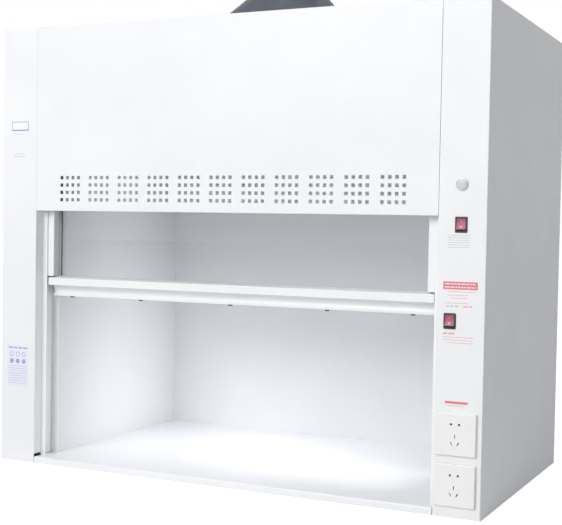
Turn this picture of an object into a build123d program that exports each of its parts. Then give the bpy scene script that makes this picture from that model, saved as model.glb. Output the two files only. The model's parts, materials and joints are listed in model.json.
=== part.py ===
"""Benchtop fume hood with a counterweighted vertical sash.

Millimetres. +X is to the user's right, the front faces -Y and +Z is up. The origin is the middle of
the floor pan's underside, so the hood stands on the plane Z = 0.
"""

from build123d import *
import os

os.makedirs("parts", exist_ok=True)

# Cabinet
hood_width = 1200.0
hood_depth = 660.0
hood_height = 1040.0
sheet = 1.2  # folded steel
bend_radius = 2.0  # outside of a fold
fit_gap = 0.2  # between sheets that slide together

# Front pillars, folded in one piece with the side panels
pillar_width = 100.0
pillar_return = 27.0
rear_flange = 25.0
corner_notch = 22.0  # return and rear flange stop this far short of floor and roof

# Fascia above the opening
fascia_bottom = 606.0
fascia_lip_depth = 24.0
fascia_lip_height = 12.0
fascia_side_gap = 0.5
vent_size = 8.0
vent_pitch_x = 15.8
vent_pitch_z = 17.2
vent_columns = 4
vent_rows = 4
vent_groups = 11
vent_group_pitch = 80.5
vent_centre_z = 658.3

# Roof and floor trays
roof_flange = 18.0
floor_flange = 15.0

# Worktop and inner walls
worktop_thickness = 14.8
worktop_side_gap = 1.0
worktop_front_gap = 0.5
worktop_nose_radius = 4.0
wall_board = 5.0
side_wall_inset = 20.0  # inner wall face from the pillar's inner edge
chamber_back = 48.0  # inner back wall face from the hood's back
ceiling_height = 860.0
worktop_overhang = 12.0  # worktop behind the back wall

# Sash guides
guide_wall = 1.5
guide_front_lip = 13.0
guide_depth = 41.0
guide_top = 990.0

# Sash
glass_thickness = 5.0
sash_running_gap = 1.5  # stile to guide flange, front and rear
stile_width = 27.0
stile_guide_gap = 3.0  # stile to guide web
stile_depth = 35.0
stile_wall = 2.0
stile_top = 1001.0
glazing_shoulder = 20.0  # stile front to glazing slot
glazing_slot_depth = 9.0
gasket_thickness = 3.0
gasket_cover = 6.5  # strip of glass that the gasket hides
rear_lip_thickness = 3.0
top_rail_height = 21.0
rail_length_gap = 15.0  # rail end from the pillar's inner edge
rail_bottom = 402.0
rail_nose_bottom = 428.0
rail_nose_top = 446.0
rail_top = 450.0
rail_depth = 32.0
rail_wall_at_grip = 7.0
grip_lip_depth = 15.0
grip_shoulder_depth = 12.0
end_cap_thickness = 2.0
end_cap_round = 1.0
glass_in_rail = 6.0
glass_edge_gap = 2.0
glide_length = 40.0
glide_skin = 1.0
glide_clearance = 0.5
bumper_radius = 5.0
bumper_height = 3.0
bumper_pitch = 237.0  # between the three middle bumpers
bumper_end_inset = 53.0  # outer bumpers from the rail's ends

# Pulleys, cables and counterweights
cable_radius = 1.25
cable_bend = 15.0  # cable centre line round the pulley
cable_clearance = 0.3
pulley_rim_radius = 17.0
pulley_width = 10.0
pulley_groove_half = 3.0
axle_radius = 2.5
axle_running_gap = 0.05
bracket_sheet = 2.0
bracket_side_gap = 2.0
bracket_length = 36.0
bracket_cheek_drop = 7.0  # cheek below the axle's centre
rim_under_bracket = 1.8
axle_head_radius = 4.5
axle_head = 2.0
cable_from_stile_edge = 5.0
ferrule_radius = 3.0
ferrule_height = 3.5
weight_width = 38.0
weight_depth = 34.0
weight_height = 530.0
weight_floor_gap = 40.0
weight_eye_height = 10.0
weight_eye_radius = 4.0

# Exhaust
duct_side = 300.0
duct_corner = 30.0
duct_flange = 20.0
duct_fit_gap = 1.0
collar_flange_side = 380.0
collar_flange = 4.0
collar_corner = 12.0
collar_wall = 3.0
transition_height = 86.0
spigot_radius = 100.0
spigot_length = 55.0
collar_screw_circle = 170.0  # screw line from the collar's middle
screw_radius = 2.4
screw_hole_gap = 0.2
screw_head_radius = 4.5
screw_head_height = 2.6
screw_length = 12.0

# Ceiling lamp
lamp_length = 600.0
lamp_width = 50.0
lamp_height = 36.0
lamp_from_front = 113.0
lamp_flange = 14.0
diffuser_rim = 5.0
diffuser_rim_thickness = 2.0
diffuser_gap = 1.0

# Controls on the right pillar, measured from the hood's right side and floor
button_inset = 52.0
button_height = 669.0
light_switch_inset = 52.0
light_switch_height = 588.7
fan_switch_inset = 71.5
fan_switch_height = 395.7
button_ring_radius = 12.5
button_ring_height = 3.0
button_barrel_radius = 10.5
button_barrel_length = 26.0
button_cap_radius = 8.5
button_cap_gap = 0.25
button_cap_proud = 1.4
button_travel = 2.5
button_well_depth = 14.0
button_stem_radius = 4.0
button_nut_width = 27.0
button_nut_height = 4.0
bezel_width = 25.6
bezel_height = 32.0
bezel_thickness = 2.0
switch_body_width = 21.6
switch_body_height = 28.0
switch_body_depth = 22.0
switch_cut_gap = 0.3
rocker_width = 18.2
rocker_side_gap = 0.35
rocker_half_height = 11.0
rocker_well_half_height = 12.5
rocker_well_depth = 14.0
rocker_pivot_depth = 4.0
rocker_reach = 7.5  # pivot to the rocker's proud ends
rocker_dish = 1.2
rocker_back = 3.5
rocker_tilt = 9.0
rocker_pin_radius = 1.5
rocker_pin_length = 1.2
rocker_pin_gap = 0.06

# Sockets on the right pillar
socket_inset = 53.5
upper_socket_height = 170.0
lower_socket_height = 67.3
socket_plate = 86.0
socket_plate_thickness = 8.0
socket_plate_corner = 3.0
socket_edge_round = 2.0
socket_core = 60.0
socket_core_depth = 28.0
socket_core_gap = 0.5
round_hole_radius = 2.5
round_hole_offset = 8.2
round_hole_rise = 20.2
pin_slot_width = 2.0
pin_slot_length = 7.5
earth_slot_drop = 4.3
live_slot_drop = 18.5
live_slot_offset = 6.9
live_slot_tilt = 32.0
contact_depth = 18.0

# Screws and mains inlet on the back
back_screw_count = 5
back_screw_pitch = 235.0
gland_inset = 110.0
gland_height = 90.0
gland_thread_radius = 8.0
gland_hole_radius = 4.0
gland_hex = 22.0
gland_hex_height = 5.0
gland_cap_radius = 10.0
gland_cap_length = 16.0
gland_inner_length = 12.0
gland_nut_height = 4.0

# Planes and levels that the pieces share
side = hood_width / 2
front = -hood_depth / 2
back = hood_depth / 2
back_skin = back - sheet
opening_side = side - pillar_width
worktop_top = sheet + worktop_thickness
guide_front = front + pillar_return
guide_rear = guide_front + guide_depth
wall_face = opening_side - side_wall_inset
wall_outer = wall_face + wall_board
chamber_rear = back - chamber_back
roof_underside = hood_height - sheet
ceiling_top = ceiling_height + wall_board
sash_front = guide_front + guide_wall + sash_running_gap
sash_rear = sash_front + stile_depth
stile_outer = opening_side - stile_guide_gap
stile_inner = stile_outer - stile_width
gasket_front = sash_front + glazing_shoulder
glass_front = gasket_front + gasket_thickness
glass_rear = glass_front + glass_thickness
rail_end = opening_side - rail_length_gap
bumper_bottom = rail_bottom - bumper_height
cable_y = (sash_front + sash_rear) / 2
sash_cable_x = stile_outer - cable_from_stile_edge
pulley_x = sash_cable_x + cable_bend
weight_cable_x = pulley_x + cable_bend
pulley_z = roof_underside - bracket_sheet - rim_under_bracket - pulley_rim_radius
ferrule_top = stile_top + ferrule_height
weight_bottom = weight_floor_gap
weight_top = weight_bottom + weight_height
weight_eye_top = weight_top + weight_eye_height


def facing_front(y):
    """Sketch plane at depth y that looks out of the front: local x is X and local y is Z."""
    return Plane.XZ.offset(-y)


def section_plane(x):
    """Sketch plane across the hood at x: local x is Y and local y is Z."""
    return Plane.YZ.offset(x)


def save(piece, name):
    """Label a finished sub-part and write it as its own STEP file."""
    piece.part.label = name
    export_step(piece.part, f"parts/{name}.step")


# Side panels: outer wall, front pillar, inner return and rear flange are one folded sheet
with BuildPart() as left_side_panel:
    with BuildSketch(Plane.XY):
        with BuildLine():
            FilletPolyline(
                (-opening_side, front + pillar_return),
                (-opening_side, front),
                (-side, front),
                (-side, back_skin),
                (-side + rear_flange, back_skin),
                radius=bend_radius,
            )
            offset(amount=sheet, side=Side.RIGHT)
        make_face()
    extrude(amount=hood_height)
    notched_return = pillar_return - sheet
    notched_flange = rear_flange - sheet
    for level in (0, hood_height - corner_notch):
        with BuildSketch(Plane.XY.offset(level)):
            with Locations((-opening_side - bend_radius / 2, front + sheet + notched_return / 2)):
                Rectangle(bend_radius, notched_return)
            with Locations((-side + sheet + notched_flange / 2, back_skin - bend_radius / 2)):
                Rectangle(notched_flange, bend_radius)
        extrude(amount=corner_notch, mode=Mode.SUBTRACT)
    with BuildSketch(facing_front(back_skin)):
        with Locations((-side + rear_flange / 2, hood_height / 2)):
            with GridLocations(0, back_screw_pitch, 1, back_screw_count):
                Circle(screw_radius + screw_hole_gap)
    extrude(amount=sheet, mode=Mode.SUBTRACT)

with BuildPart() as right_side_panel:
    mirror(left_side_panel.part, about=Plane.YZ)
    with BuildSketch(facing_front(front + sheet)):
        with Locations((side - button_inset, button_height)):
            Circle(button_barrel_radius + switch_cut_gap)
        for inset, height in (
            (light_switch_inset, light_switch_height),
            (fan_switch_inset, fan_switch_height),
        ):
            with Locations((side - inset, height)):
                Rectangle(switch_body_width + 2 * switch_cut_gap, switch_body_height + 2 * switch_cut_gap)
        for height in (upper_socket_height, lower_socket_height):
            with Locations((side - socket_inset, height)):
                Rectangle(socket_core + 2 * socket_core_gap, socket_core + 2 * socket_core_gap)
    extrude(amount=sheet, mode=Mode.SUBTRACT)

# Back panel: flat sheet over the rear flanges, with the mains inlet hole
with BuildPart() as back_panel:
    with BuildSketch(facing_front(back)):
        with Locations((0, hood_height / 2)):
            Rectangle(hood_width, hood_height)
            with GridLocations(hood_width - rear_flange, back_screw_pitch, 2, back_screw_count):
                Circle(screw_radius + screw_hole_gap, mode=Mode.SUBTRACT)
        with Locations((side - gland_inset, gland_height)):
            Circle(gland_thread_radius + screw_hole_gap, mode=Mode.SUBTRACT)
    extrude(amount=sheet)

# Floor tray and roof tray fit between the side panels
tray_width = hood_width - 2 * (sheet + fit_gap)
tray_front = front + sheet + fit_gap
tray_back = back_skin - fit_gap
tray_depth = tray_back - tray_front
tray_centre = (tray_front + tray_back) / 2

with BuildPart() as base_pan:
    with BuildSketch(Plane.XY):
        with Locations((0, tray_centre)):
            RectangleRounded(tray_width, tray_depth, bend_radius)
    extrude(amount=sheet)
    with BuildSketch(Plane.XY.offset(sheet)):
        with Locations((0, tray_centre)):
            RectangleRounded(tray_width, tray_depth, bend_radius)
        with Locations((0, tray_centre - sheet)):
            Rectangle(tray_width - 2 * sheet, tray_depth, mode=Mode.SUBTRACT)
    extrude(amount=floor_flange - sheet)

with BuildPart() as roof_panel:
    with BuildSketch(Plane.XY.offset(hood_height - roof_flange)):
        with Locations((0, tray_centre)):
            RectangleRounded(tray_width, tray_depth, bend_radius)
    extrude(amount=roof_flange)
    fillet(roof_panel.edges().group_by(Axis.Z)[-1], radius=bend_radius)
    with BuildSketch(Plane.XY.offset(hood_height - roof_flange)):
        with Locations((0, tray_centre)):
            Rectangle(tray_width - 2 * sheet, tray_depth - 2 * sheet)
    extrude(amount=roof_flange - sheet, mode=Mode.SUBTRACT)
    with BuildSketch(Plane.XY.offset(roof_underside)):
        RectangleRounded(duct_side + 2 * duct_fit_gap, duct_side + 2 * duct_fit_gap, duct_corner)
        for angle in (0, 90, 180, 270):
            with PolarLocations(collar_screw_circle, 1, start_angle=angle):
                Circle(screw_radius + screw_hole_gap)
            with Locations(Vector(collar_screw_circle, collar_screw_circle).rotate(Axis.Z, angle)):
                Circle(screw_radius + screw_hole_gap)
    extrude(amount=sheet, mode=Mode.SUBTRACT)

# Fascia: front sheet with the bypass vents, folded back along its bottom and both ends
fascia_half = opening_side - fascia_side_gap
fascia_flange_height = hood_height - corner_notch - fascia_bottom - bend_radius
with BuildPart() as front_fascia:
    with BuildSketch(section_plane(-fascia_half)):
        with BuildLine():
            FilletPolyline(
                (front + fascia_lip_depth, fascia_bottom + fascia_lip_height),
                (front + fascia_lip_depth, fascia_bottom),
                (front, fascia_bottom),
                (front, hood_height),
                radius=bend_radius,
            )
            offset(amount=sheet, side=Side.RIGHT)
        make_face()
    extrude(amount=2 * fascia_half)
    with BuildSketch(Plane.XY.offset(fascia_bottom + bend_radius)):
        for end in (-1, 1):
            with Locations((end * (fascia_half - sheet / 2), front + fascia_lip_depth / 2)):
                Rectangle(sheet, fascia_lip_depth)
    extrude(amount=fascia_flange_height)
    with BuildSketch(facing_front(front + sheet)):
        with Locations((0, vent_centre_z)):
            with GridLocations(vent_group_pitch, 0, vent_groups, 1):
                with GridLocations(vent_pitch_x, vent_pitch_z, vent_columns, vent_rows):
                    Rectangle(vent_size, vent_size)
    extrude(amount=sheet, mode=Mode.SUBTRACT)

# Worktop board between the pillars, standing on the floor tray
worktop_half = opening_side - worktop_side_gap
worktop_front = front + worktop_front_gap
worktop_back = chamber_rear + wall_board + worktop_overhang
with BuildPart() as worktop:
    with BuildSketch(Plane.XY.offset(sheet)):
        with Locations((0, (worktop_front + worktop_back) / 2)):
            Rectangle(2 * worktop_half, worktop_back - worktop_front)
    extrude(amount=worktop_thickness)
    fillet(worktop.edges().group_by(Axis.Z)[-1].sort_by(Axis.Y)[0], radius=worktop_nose_radius)

# Inner walls and ceiling
wall_height = ceiling_height - worktop_top
with BuildPart() as left_liner:
    with BuildSketch(Plane.XY.offset(worktop_top)):
        with Locations((-wall_face - wall_board / 2, (guide_rear + chamber_rear) / 2)):
            Rectangle(wall_board, chamber_rear - guide_rear)
    extrude(amount=wall_height)

with BuildPart() as right_liner:
    mirror(left_liner.part, about=Plane.YZ)

with BuildPart() as back_liner:
    with BuildSketch(Plane.XY.offset(worktop_top)):
        with Locations((0, chamber_rear + wall_board / 2)):
            Rectangle(2 * wall_outer, wall_board)
    extrude(amount=wall_height)

lamp_y = front + lamp_from_front
with BuildPart() as ceiling_liner:
    with BuildSketch(Plane.XY.offset(ceiling_height)):
        with Locations((0, (guide_rear + chamber_rear + wall_board) / 2)):
            Rectangle(2 * wall_outer, chamber_rear + wall_board - guide_rear)
        Rectangle(duct_side - 2 * sheet, duct_side - 2 * sheet, mode=Mode.SUBTRACT)
        with Locations((0, lamp_y)):
            Rectangle(lamp_length, lamp_width, mode=Mode.SUBTRACT)
    extrude(amount=wall_board)

# Sash guides: channels that stand on the worktop behind the pillar returns
with BuildPart() as left_sash_guide:
    with BuildSketch(Plane.XY.offset(worktop_top)):
        with BuildLine():
            Polyline(
                (-opening_side + guide_front_lip, guide_front),
                (-opening_side - guide_wall, guide_front),
                (-opening_side - guide_wall, guide_rear),
                (-wall_face, guide_rear),
            )
            offset(amount=guide_wall, side=Side.RIGHT, kind=Kind.INTERSECTION)
        make_face()
    extrude(amount=guide_top - worktop_top)

with BuildPart() as right_sash_guide:
    mirror(left_sash_guide.part, about=Plane.YZ)

# Exhaust duct inside the hood, from the ceiling to the roof
with BuildPart() as inner_duct:
    with BuildSketch(Plane.XY.offset(ceiling_top)):
        RectangleRounded(duct_side + 2 * duct_flange, duct_side + 2 * duct_flange, duct_corner)
    extrude(amount=sheet)
    with BuildSketch(Plane.XY.offset(ceiling_top + sheet)):
        RectangleRounded(duct_side, duct_side, duct_corner)
    extrude(amount=hood_height - ceiling_top - sheet)
    with BuildSketch(Plane.XY.offset(ceiling_top)):
        RectangleRounded(duct_side - 2 * sheet, duct_side - 2 * sheet, duct_corner - sheet)
    extrude(amount=hood_height - ceiling_top, mode=Mode.SUBTRACT)

flange_top = hood_height + collar_flange
spigot_base = flange_top + transition_height


def transition(half_side, corner_radius, top_radius):
    """Square-to-round body: one oblique cone and one flat triangle, turned four times round Z."""
    corner = half_side - corner_radius
    lower_arc = Edge.make_circle(corner_radius, Plane((corner, corner, flange_top)), 0, 90)
    upper_arc = Edge.make_circle(top_radius, Plane((0, 0, spigot_base)), 0, 90)
    lower_line = Edge.make_line((half_side, -corner, flange_top), (half_side, corner, flange_top))
    cone = Face.make_surface_from_curves(lower_arc, upper_arc)
    flat = Face(Wire.make_polygon([lower_line @ 0, lower_line @ 1, upper_arc @ 0]))
    turns = (0, 90, 180, 270)
    walls = [face.rotate(Axis.Z, turn) for turn in turns for face in (cone, flat)]
    foot = Face(Wire([edge.rotate(Axis.Z, turn) for turn in turns for edge in (lower_arc, lower_line)]))
    mouth = Face(Wire([upper_arc.rotate(Axis.Z, turn) for turn in turns]))
    return Solid(Shell(walls + [foot, mouth]))


# Exhaust collar: screwed flange, square-to-round transition and hose spigot
with BuildPart() as exhaust_collar:
    add(transition(duct_side / 2, duct_corner, spigot_radius))
    with BuildSketch(Plane.XY.offset(spigot_base)):
        Circle(spigot_radius)
    extrude(amount=spigot_length)
    with BuildSketch(Plane.XY.offset(hood_height)):
        RectangleRounded(collar_flange_side, collar_flange_side, collar_corner)
    extrude(amount=collar_flange)
    duct_bore = duct_side - 2 * collar_wall
    add(
        transition(duct_bore / 2, duct_corner - collar_wall, spigot_radius - collar_wall),
        mode=Mode.SUBTRACT,
    )
    with BuildSketch(Plane.XY.offset(spigot_base)):
        Circle(spigot_radius - collar_wall)
    extrude(amount=spigot_length, mode=Mode.SUBTRACT)
    with BuildSketch(Plane.XY.offset(hood_height)):
        RectangleRounded(duct_bore, duct_bore, duct_corner - collar_wall)
        for angle in (0, 90, 180, 270):
            with PolarLocations(collar_screw_circle, 1, start_angle=angle):
                Circle(screw_radius + screw_hole_gap)
            with Locations(Vector(collar_screw_circle, collar_screw_circle).rotate(Axis.Z, angle)):
                Circle(screw_radius + screw_hole_gap)
    extrude(amount=collar_flange, mode=Mode.SUBTRACT)

with BuildPart() as collar_screws:
    for angle in (0, 90, 180, 270):
        middle = Vector(collar_screw_circle, 0).rotate(Axis.Z, angle)
        corner = Vector(collar_screw_circle, collar_screw_circle).rotate(Axis.Z, angle)
        with BuildSketch(Plane.XY.offset(flange_top)):
            with Locations(middle, corner):
                Circle(screw_head_radius)
        extrude(amount=screw_head_height)
        with BuildSketch(Plane.XY.offset(flange_top)):
            with Locations(middle, corner):
                Circle(screw_radius)
        extrude(amount=-screw_length)
    chamfer(collar_screws.edges().group_by(Axis.Z)[-1], length=screw_head_height / 3)

# Ceiling lamp: folded housing above the ceiling and an opal diffuser in the cut-out
with BuildPart() as lamp_housing:
    with BuildSketch(Plane.XY.offset(ceiling_top)):
        with Locations((0, lamp_y)):
            Rectangle(lamp_length + 2 * lamp_flange, lamp_width + 2 * lamp_flange)
    extrude(amount=lamp_height)
    lamp_rim = lamp_flange - diffuser_rim - diffuser_gap - sheet
    with BuildSketch(Plane.XY.offset(ceiling_top + sheet)):
        with Locations((0, lamp_y)):
            Rectangle(lamp_length + 3 * lamp_flange, lamp_width + 3 * lamp_flange)
            Rectangle(
                lamp_length + 2 * (lamp_flange - lamp_rim),
                lamp_width + 2 * (lamp_flange - lamp_rim),
                mode=Mode.SUBTRACT,
            )
    extrude(amount=lamp_height, mode=Mode.SUBTRACT)
    with BuildSketch(Plane.XY.offset(ceiling_top)):
        with Locations((0, lamp_y)):
            Rectangle(
                lamp_length + 2 * (diffuser_rim + diffuser_gap),
                lamp_width + 2 * (diffuser_rim + diffuser_gap),
            )
    extrude(amount=lamp_height - sheet, mode=Mode.SUBTRACT)

with BuildPart() as lamp_diffuser:
    with BuildSketch(Plane.XY.offset(ceiling_height)):
        with Locations((0, lamp_y)):
            Rectangle(lamp_length - 2 * diffuser_gap, lamp_width - 2 * diffuser_gap)
    extrude(amount=wall_board)
    with BuildSketch(Plane.XY.offset(ceiling_top)):
        with Locations((0, lamp_y)):
            Rectangle(lamp_length + 2 * diffuser_rim, lamp_width + 2 * diffuser_rim)
    extrude(amount=diffuser_rim_thickness)

# Sash stiles: hollow sections with a glazing slot and a lip behind the glass
slot_bottom = stile_inner + glazing_slot_depth
lip_end = stile_inner - gasket_cover
stile_base = rail_top
with BuildPart() as left_stile:
    with BuildSketch(Plane.XY.offset(stile_base)) as stile_section:
        with BuildLine():
            Polyline(
                (-stile_outer, sash_front),
                (-stile_inner, sash_front),
                (-stile_inner, gasket_front),
                (-slot_bottom, gasket_front),
                (-slot_bottom, glass_rear),
                (-lip_end, glass_rear),
                (-lip_end, glass_rear + rear_lip_thickness),
                (-stile_inner, glass_rear + rear_lip_thickness),
                (-stile_inner, sash_rear),
                (-stile_outer, sash_rear),
                close=True,
            )
        make_face()
        fillet(stile_section.vertices().group_by(Axis.Y)[0], radius=bend_radius)
        with Locations((-(stile_outer + stile_inner) / 2, (sash_front + gasket_front) / 2)):
            Rectangle(
                stile_width - 2 * stile_wall,
                gasket_front - sash_front - 2 * stile_wall,
                mode=Mode.SUBTRACT,
            )
    extrude(amount=stile_top - stile_base)

with BuildPart() as right_stile:
    mirror(left_stile.part, about=Plane.YZ)

# Top rail between the stiles: hollow, with a glazing slot in its underside
top_rail_bottom = stile_top - top_rail_height
with BuildPart() as sash_top_rail:
    with BuildSketch(section_plane(-stile_inner)):
        with Locations(((sash_front + sash_rear) / 2, (top_rail_bottom + stile_top) / 2)):
            Rectangle(stile_depth, top_rail_height)
        with Locations(((sash_front + gasket_front) / 2, (top_rail_bottom + stile_top) / 2)):
            Rectangle(
                gasket_front - sash_front - 2 * stile_wall,
                top_rail_height - 2 * stile_wall,
                mode=Mode.SUBTRACT,
            )
        with Locations(((glass_front + glass_rear) / 2, top_rail_bottom)):
            Rectangle(glass_thickness, 2 * glazing_slot_depth, mode=Mode.SUBTRACT)
    extrude(amount=2 * stile_inner)
    with BuildSketch(Plane.XY.offset(top_rail_bottom)):
        with Locations((0, glass_rear + rear_lip_thickness / 2)):
            Rectangle(2 * stile_inner, rear_lip_thickness)
            Rectangle(2 * lip_end, rear_lip_thickness, mode=Mode.SUBTRACT)
    extrude(amount=top_rail_height, mode=Mode.SUBTRACT)

# Handle rail: rounded nose, concave finger grip under it, glazing slot on top
rail_rear = sash_front + rail_depth
rail_cut_half = rail_end - end_cap_thickness
grip_deep = rail_rear - rail_wall_at_grip
grip_shoulder = sash_front + grip_shoulder_depth
grip_lip_front = rail_rear - grip_lip_depth
with BuildSketch() as rail_outline:
    with BuildLine():
        Polyline(
            (grip_lip_front, rail_bottom),
            (rail_rear, rail_bottom),
            (rail_rear, rail_top),
            (gasket_front, rail_top),
            (sash_front, rail_nose_top),
            (sash_front, rail_nose_bottom),
            (grip_shoulder, rail_nose_bottom),
        )
        ThreePointArc(
            (grip_shoulder, rail_nose_bottom),
            (grip_deep, (rail_bottom + rail_nose_bottom) / 2),
            (grip_lip_front, rail_bottom),
        )
    make_face()

with BuildPart() as sash_handle_rail:
    with BuildSketch(section_plane(-rail_cut_half)) as rail_section:
        add(rail_outline.sketch)
        fillet(rail_section.vertices().group_by(Axis.X)[0], radius=bend_radius)
        with Locations(((glass_front + glass_rear) / 2, rail_top)):
            Rectangle(glass_thickness, 2 * glass_in_rail, mode=Mode.SUBTRACT)
        with Locations(((sash_front + gasket_front) / 2, (rail_nose_bottom + rail_nose_top) / 2)):
            Rectangle(
                gasket_front - sash_front - 2 * stile_wall,
                rail_nose_top - rail_nose_bottom - 2 * stile_wall,
                mode=Mode.SUBTRACT,
            )
    extrude(amount=2 * rail_cut_half)

with BuildPart() as left_rail_end_cap:
    with BuildSketch(section_plane(-rail_end)) as cap_section:
        add(rail_outline.sketch)
        fillet(cap_section.vertices().group_by(Axis.X)[0], radius=bend_radius)
    extrude(amount=end_cap_thickness)
    fillet(left_rail_end_cap.faces().sort_by(Axis.X)[0].edges(), radius=end_cap_round)

with BuildPart() as right_rail_end_cap:
    mirror(left_rail_end_cap.part, about=Plane.YZ)

# Glass pane and the rubber gaskets along its upright edges
glass_bottom = rail_top - glass_in_rail
glass_top = top_rail_bottom + glazing_slot_depth - glass_edge_gap
glass_half = slot_bottom - glass_edge_gap
with BuildPart() as sash_glass:
    with BuildSketch(facing_front(glass_rear)):
        with Locations((0, (glass_bottom + glass_top) / 2)):
            Rectangle(2 * glass_half, glass_top - glass_bottom)
    extrude(amount=glass_thickness)

with BuildPart() as left_glass_gasket:
    with BuildSketch(Plane.XY.offset(rail_top)):
        with Locations((-(lip_end + glass_half) / 2, (gasket_front + glass_front) / 2)):
            Rectangle(glass_half - lip_end, gasket_thickness)
    extrude(amount=top_rail_bottom - rail_top)

with BuildPart() as right_glass_gasket:
    mirror(left_glass_gasket.part, about=Plane.YZ)

# Nylon glides clipped round the stiles, top and bottom, inside the guides
glide_outer = opening_side - glide_clearance
glide_inner = stile_outer - guide_front_lip + guide_wall
with BuildPart() as sash_glides:
    for end in (-1, 1):
        for level in (rail_top + bend_radius, stile_top - glide_length - bend_radius):
            with BuildSketch(Plane.XY.offset(level)):
                with Locations((end * (glide_outer + glide_inner) / 2, cable_y)):
                    Rectangle(glide_outer - glide_inner, stile_depth + 2 * glide_skin)
                with Locations((end * (stile_outer + glide_inner) / 2, cable_y)):
                    Rectangle(stile_outer - glide_inner, stile_depth, mode=Mode.SUBTRACT)
            extrude(amount=glide_length)

# Rubber bumpers under the handle rail
bumper_y = rail_rear - grip_lip_depth / 2
outer_bumper = rail_end - bumper_end_inset
with BuildPart() as sash_bumpers:
    with BuildSketch(Plane.XY.offset(bumper_bottom)):
        with Locations(
            (-outer_bumper, bumper_y),
            (-bumper_pitch, bumper_y),
            (0, bumper_y),
            (bumper_pitch, bumper_y),
            (outer_bumper, bumper_y),
        ):
            Circle(bumper_radius)
    extrude(amount=bumper_height)

# Cable ferrules on top of the stiles
with BuildPart() as cable_ferrules:
    with BuildSketch(Plane.XY.offset(stile_top)):
        with Locations((-sash_cable_x, cable_y), (sash_cable_x, cable_y)):
            Circle(ferrule_radius)
    extrude(amount=ferrule_height)

# Pulley bracket: a folded U under the roof; the axle crosses its cheeks
cheek_half = pulley_width / 2 + bracket_side_gap + bracket_sheet
bracket_top = roof_underside
with BuildPart() as left_pulley_bracket:
    with BuildSketch(section_plane(-pulley_x - bracket_length / 2)):
        with BuildLine():
            FilletPolyline(
                (cable_y - cheek_half, pulley_z - bracket_cheek_drop),
                (cable_y - cheek_half, bracket_top),
                (cable_y + cheek_half, bracket_top),
                (cable_y + cheek_half, pulley_z - bracket_cheek_drop),
                radius=bracket_sheet + bend_radius / 2,
            )
            offset(amount=bracket_sheet, side=Side.RIGHT)
        make_face()
    extrude(amount=bracket_length)
    with BuildSketch(facing_front(cable_y + cheek_half)):
        with Locations((-pulley_x, pulley_z)):
            Circle(axle_radius)
    extrude(amount=2 * cheek_half, mode=Mode.SUBTRACT)

with BuildPart() as right_pulley_bracket:
    mirror(left_pulley_bracket.part, about=Plane.YZ)

with BuildPart() as left_pulley_axle:
    with BuildSketch(facing_front(cable_y + cheek_half)):
        with Locations((-pulley_x, pulley_z)):
            Circle(axle_radius)
    extrude(amount=2 * cheek_half)
    with BuildSketch(facing_front(cable_y - cheek_half)):
        with Locations((-pulley_x, pulley_z)):
            Circle(axle_head_radius)
    extrude(amount=axle_head)

with BuildPart() as right_pulley_axle:
    mirror(left_pulley_axle.part, about=Plane.YZ)

# Grooved pulley turned round its axle
groove_root = cable_bend - cable_radius - cable_clearance
with BuildPart() as left_pulley:
    with BuildSketch(section_plane(-pulley_x)):
        with BuildLine():
            Polyline(
                (cable_y - pulley_width / 2, pulley_z + axle_radius + axle_running_gap),
                (cable_y - pulley_width / 2, pulley_z + pulley_rim_radius),
                (cable_y - pulley_groove_half, pulley_z + pulley_rim_radius),
                (cable_y - cable_radius - cable_clearance, pulley_z + groove_root),
                (cable_y + cable_radius + cable_clearance, pulley_z + groove_root),
                (cable_y + pulley_groove_half, pulley_z + pulley_rim_radius),
                (cable_y + pulley_width / 2, pulley_z + pulley_rim_radius),
                (cable_y + pulley_width / 2, pulley_z + axle_radius + axle_running_gap),
                close=True,
            )
        make_face()
    revolve(axis=Axis((-pulley_x, cable_y, pulley_z), (0, 1, 0)))

with BuildPart() as right_pulley:
    mirror(left_pulley.part, about=Plane.YZ)

# Steel cable: sash run, half turn over the pulley, counterweight run
with BuildPart() as left_sash_cable:
    with BuildSketch(Plane.XY.offset(ferrule_top)):
        with Locations((-sash_cable_x, cable_y)):
            Circle(cable_radius)
    extrude(amount=pulley_z - ferrule_top)

with BuildPart() as right_sash_cable:
    mirror(left_sash_cable.part, about=Plane.YZ)

with BuildPart() as left_pulley_cable:
    with BuildSketch(Plane.XY.offset(pulley_z)):
        with Locations((-sash_cable_x, cable_y)):
            Circle(cable_radius)
    revolve(axis=Axis((-pulley_x, cable_y, pulley_z), (0, -1, 0)), revolution_arc=180)

with BuildPart() as right_pulley_cable:
    mirror(left_pulley_cable.part, about=Plane.YZ)

with BuildPart() as left_weight_cable:
    with BuildSketch(Plane.XY.offset(weight_eye_top)):
        with Locations((-weight_cable_x, cable_y)):
            Circle(cable_radius)
    extrude(amount=pulley_z - weight_eye_top)

with BuildPart() as right_weight_cable:
    mirror(left_weight_cable.part, about=Plane.YZ)

# Counterweights: steel bars with a cable eye
with BuildPart() as left_counterweight:
    with BuildSketch(Plane.XY.offset(weight_bottom)):
        with Locations((-weight_cable_x, cable_y)):
            Rectangle(weight_width, weight_depth)
    extrude(amount=weight_height)
    with BuildSketch(Plane.XY.offset(weight_top)):
        with Locations((-weight_cable_x, cable_y)):
            Circle(weight_eye_radius)
    extrude(amount=weight_eye_height)

with BuildPart() as right_counterweight:
    mirror(left_counterweight.part, about=Plane.YZ)


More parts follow.
